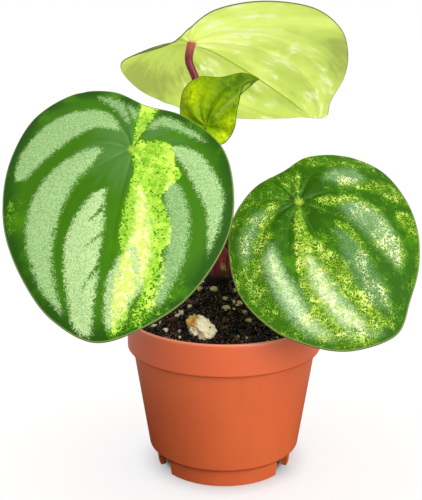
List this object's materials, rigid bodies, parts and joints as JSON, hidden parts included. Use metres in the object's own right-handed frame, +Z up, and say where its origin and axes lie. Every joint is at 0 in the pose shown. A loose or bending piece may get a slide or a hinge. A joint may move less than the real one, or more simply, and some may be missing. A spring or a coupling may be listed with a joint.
{
  "type": "potted peperomia",
  "caption": "Young variegated watermelon peperomia with round silver-banded leaves on red stalks, in a small orange nursery pot on three feet.",
  "frame": {"origin": "on the surface the pot stands on, under the middle of the whole object's box", "axes": "+Z up, -Y towards the side where the two large leaves hang over the rim, +X to that side's right"},
  "size_m": [0.1648, 0.1292, 0.2],
  "materials": {
    "pot": "injection-moulded polypropylene, terracotta orange, satin",
    "pumice": "rough porous pumice, cream with an ochre end",
    "bark": "coarse bark chip, reddish brown",
    "perlite": "crumbly expanded perlite, dull cream",
    "potting_mix": "moist peat potting mix, dark brown, crumbly",
    "crown": "short stem with old petiole scars, olive to tan",
    "petiole": "smooth raspberry red stalk, satin",
    "leaf": "waxy leaf, dark green with silver bands and lime and cream variegation",
    "leaf_underside": "waxy leaf whose underside shows, pale lime with fine veins",
    "young_leaf": "glossy crinkled young leaf, acid lime with olive creases"
  },
  "bodies": {
    "root": {"pot": "pot", "pumice_chunk": "pumice", "bark_chip": "bark", "perlite_1": "perlite", "perlite_2": "perlite", "perlite_3": "perlite", "perlite_4": "perlite", "perlite_5": "perlite", "perlite_6": "perlite", "perlite_7": "perlite", "perlite_8": "perlite", "perlite_9": "perlite", "perlite_10": "perlite", "perlite_11": "perlite", "perlite_12": "perlite", "potting_mix": "potting_mix", "crown": "crown", "petiole_left": "petiole", "leaf_left": "leaf", "petiole_right": "petiole", "leaf_right": "leaf", "petiole_top": "petiole", "leaf_top": "leaf_underside", "petiole_young": "petiole", "leaf_young": "young_leaf"}
  },
  "joints": []
}
